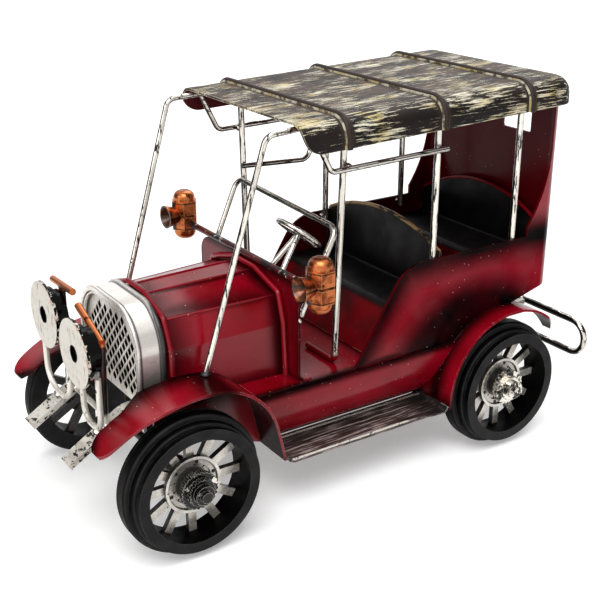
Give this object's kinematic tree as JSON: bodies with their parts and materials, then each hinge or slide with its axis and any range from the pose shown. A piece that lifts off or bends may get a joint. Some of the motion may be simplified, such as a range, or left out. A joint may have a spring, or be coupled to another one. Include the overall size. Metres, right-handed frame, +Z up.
{
  "type": "hand-made metal model of a vintage touring car",
  "caption": "Welded sheet-metal and wire model of an early open touring car with a ribbed roof canopy, running boards, lamps and spoked wheels that turn freely.",
  "frame": {"origin": "on the ground below the middle of the overall length and width", "axes": "+X towards the car's front, +Y towards its left side, +Z up"},
  "size_m": [0.256, 0.1322, 0.1766],
  "materials": {
    "roof_paint": "dark brown-black paint, dry-brushed in cream",
    "red_paint": "satin deep red with black airbrushed shading",
    "seat_paint": "satin black, worn edges",
    "worn_silver": "silver paint with dark wear",
    "wire_silver": "silver painted wire with dark worn patches",
    "board_paint": "brown-black with brushed silver streaks",
    "lamp_cream": "cream white disc with copper edge",
    "copper": "copper with black patina",
    "dark_red_wire": "dark red and silver worn paint",
    "black_iron": "satin black",
    "tyre_black": "satin black"
  },
  "bodies": {
    "root": {"axle_straps": "black_iron", "board_rods": "wire_silver", "body_tub": "red_paint", "dash_panel": "red_paint", "door_wire": "wire_silver", "floor_pan": "red_paint", "frame_rails": "worn_silver", "front_axle": "black_iron", "front_crossbar": "wire_silver", "front_fender_left": "red_paint", "front_fender_right": "red_paint", "front_posts": "wire_silver", "front_seat": "seat_paint", "front_struts": "wire_silver", "grille": "worn_silver", "head_lamp_left": "lamp_cream", "head_lamp_right": "lamp_cream", "hood": "red_paint", "hood_apron_left": "red_paint", "hood_apron_right": "red_paint", "hood_beads": "red_paint", "lamp_brackets": "black_iron", "lamp_loops": "wire_silver", "lamp_rod": "dark_red_wire", "middle_posts": "wire_silver", "radiator_core": "black_iron", "radiator_shell": "worn_silver", "rear_axle": "black_iron", "rear_bumper": "wire_silver", "rear_fender_left": "red_paint", "rear_fender_right": "red_paint", "rear_posts": "wire_silver", "rear_seat": "seat_paint", "roof_canopy": "roof_paint", "running_board_left": "board_paint", "running_board_right": "board_paint", "side_lamp_left": "copper", "side_lamp_right": "copper", "side_rails": "wire_silver", "sill_left": "red_paint", "sill_right": "red_paint", "steering_wheel": "wire_silver", "windshield_frame": "wire_silver"},
    "front_left_wheel": {"hub_cap_front_left": "worn_silver", "tyre_front_left": "tyre_black", "wheel_front_left": "worn_silver"},
    "front_right_wheel": {"hub_cap_front_right": "worn_silver", "tyre_front_right": "tyre_black", "wheel_front_right": "worn_silver"},
    "rear_left_wheel": {"hub_cap_rear_left": "worn_silver", "tyre_rear_left": "tyre_black", "wheel_rear_left": "worn_silver"},
    "rear_right_wheel": {"hub_cap_rear_right": "worn_silver", "tyre_rear_right": "tyre_black", "wheel_rear_right": "worn_silver"}
  },
  "joints": [
    {"name": "front_left_spin", "type": "hinge", "parent": "root", "child": "front_left_wheel", "pos_m": [0.087, 0.05, 0.031], "axis": [0, 1, 0], "continuous": true},
    {"name": "front_right_spin", "type": "hinge", "parent": "root", "child": "front_right_wheel", "pos_m": [0.087, -0.05, 0.031], "axis": [0, 1, 0], "continuous": true},
    {"name": "rear_left_spin", "type": "hinge", "parent": "root", "child": "rear_left_wheel", "pos_m": [-0.082, 0.05, 0.031], "axis": [0, 1, 0], "continuous": true},
    {"name": "rear_right_spin", "type": "hinge", "parent": "root", "child": "rear_right_wheel", "pos_m": [-0.082, -0.05, 0.031], "axis": [0, 1, 0], "continuous": true}
  ]
}
